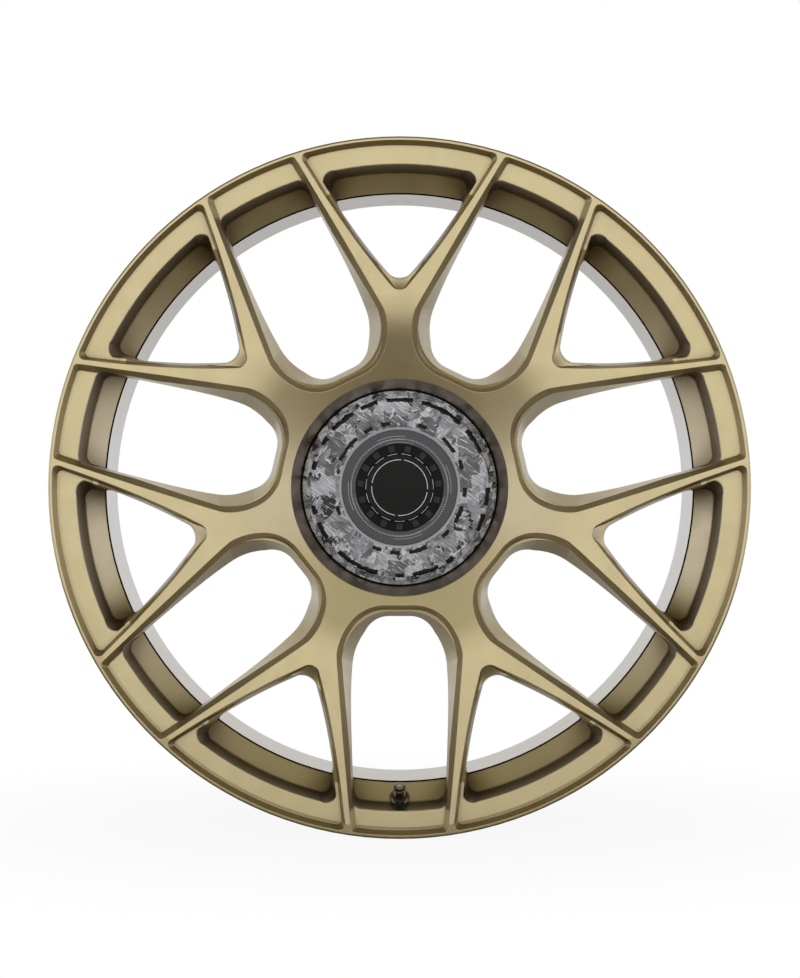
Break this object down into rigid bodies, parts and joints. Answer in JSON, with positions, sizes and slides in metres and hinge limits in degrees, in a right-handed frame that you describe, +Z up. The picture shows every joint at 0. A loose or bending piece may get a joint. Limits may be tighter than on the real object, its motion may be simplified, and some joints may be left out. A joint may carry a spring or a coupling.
{
  "type": "forged wheel rim",
  "caption": "Forged racing wheel rim with Y-shaped spokes, a welded inner barrel, a turn-off centre cap and a metal tyre valve.",
  "frame": {"origin": "centre of the rim: on the wheel's axis, halfway between the two lips", "axes": "wheel axis along Y with the street side facing -Y, +Z up with the valve at the bottom, +X to the right seen from the street side"},
  "size_m": [0.5478, 0.2546, 0.5478],
  "materials": {
    "gold_paint": "satin metallic gold paint on forged aluminium",
    "barrel_silver": "fine turned aluminium under clear lacquer",
    "weld_metal": "rippled weld, brushed",
    "plated_steel": "zinc plated steel",
    "ring_alloy": "turned aluminium",
    "black_nylon": "moulded glass filled nylon, fine grain",
    "camo_shell": "moulded shell with a printed grey broken pattern under satin lacquer",
    "grey_plastic": "satin moulded dark grey, printed fine light marks",
    "black_plastic": "satin moulded black",
    "badge_plastic": "satin near black with a thin printed light ring",
    "black_rubber": "moulded rubber",
    "valve_metal": "dark nickel plated, turned",
    "core_brass": "turned brass"
  },
  "bodies": {
    "wheel": {"forged_face": "gold_paint", "inner_barrel": "barrel_silver", "barrel_weld_bead": "weld_metal", "lug_seat_inserts": "plated_steel", "centring_ring": "ring_alloy", "cap_receiver": "black_nylon", "cap_receiver_screws": "plated_steel", "valve_stem": "valve_metal", "valve_grommet": "black_rubber", "valve_washer": "valve_metal", "valve_nut": "valve_metal", "valve_core_body": "core_brass", "valve_core_spring": "plated_steel"},
    "cap_seal": {"cap_seal_ring": "black_rubber"},
    "cap": {"cap_cover": "camo_shell", "cap_index_ring": "grey_plastic", "cap_tooth_ring": "black_plastic", "cap_badge": "badge_plastic", "cap_carrier": "black_nylon", "cap_screws": "plated_steel", "cap_bayonet_pins": "plated_steel"},
    "core_pin": {"valve_core_pin": "core_brass", "valve_core_seal": "black_rubber"},
    "valve_cap_gasket": {"valve_cap_seal": "black_rubber"},
    "valve_cap": {"valve_cap": "valve_metal"}
  },
  "joints": [
    {"name": "cap_lift", "type": "slide", "parent": "wheel", "child": "cap_seal", "axis": [0, -1, 0], "range_m": [0, 0.006]},
    {"name": "cap_turn", "type": "hinge", "parent": "cap_seal", "child": "cap", "pos_m": [0, 0, 0], "axis": [0, -1, 0], "range_deg": [0, 60]},
    {"name": "core_press", "type": "slide", "parent": "wheel", "child": "core_pin", "axis": [0, 0.891, -0.454], "range_m": [0, 0.0012], "stiffness_N_per_m": 3000, "springref_m": -0.0015, "deforming": ["valve_core_spring"]},
    {"name": "valve_cap_rise", "type": "slide", "parent": "wheel", "child": "valve_cap_gasket", "axis": [0, -0.891, 0.454], "range_m": [0, 0.00397]},
    {"name": "valve_cap_turn", "type": "hinge", "parent": "valve_cap_gasket", "child": "valve_cap", "pos_m": [0, -0.08356, -0.2468], "axis": [0, -0.891, 0.454], "range_deg": [0, 1800]}
  ],
  "couplings": [
    {"joint": "cap_lift", "follows": "cap_turn", "m_per_rad": 0.0057296},
    {"joint": "valve_cap_turn", "follows": "valve_cap_rise", "rad_per_m": 7913.3}
  ]
}
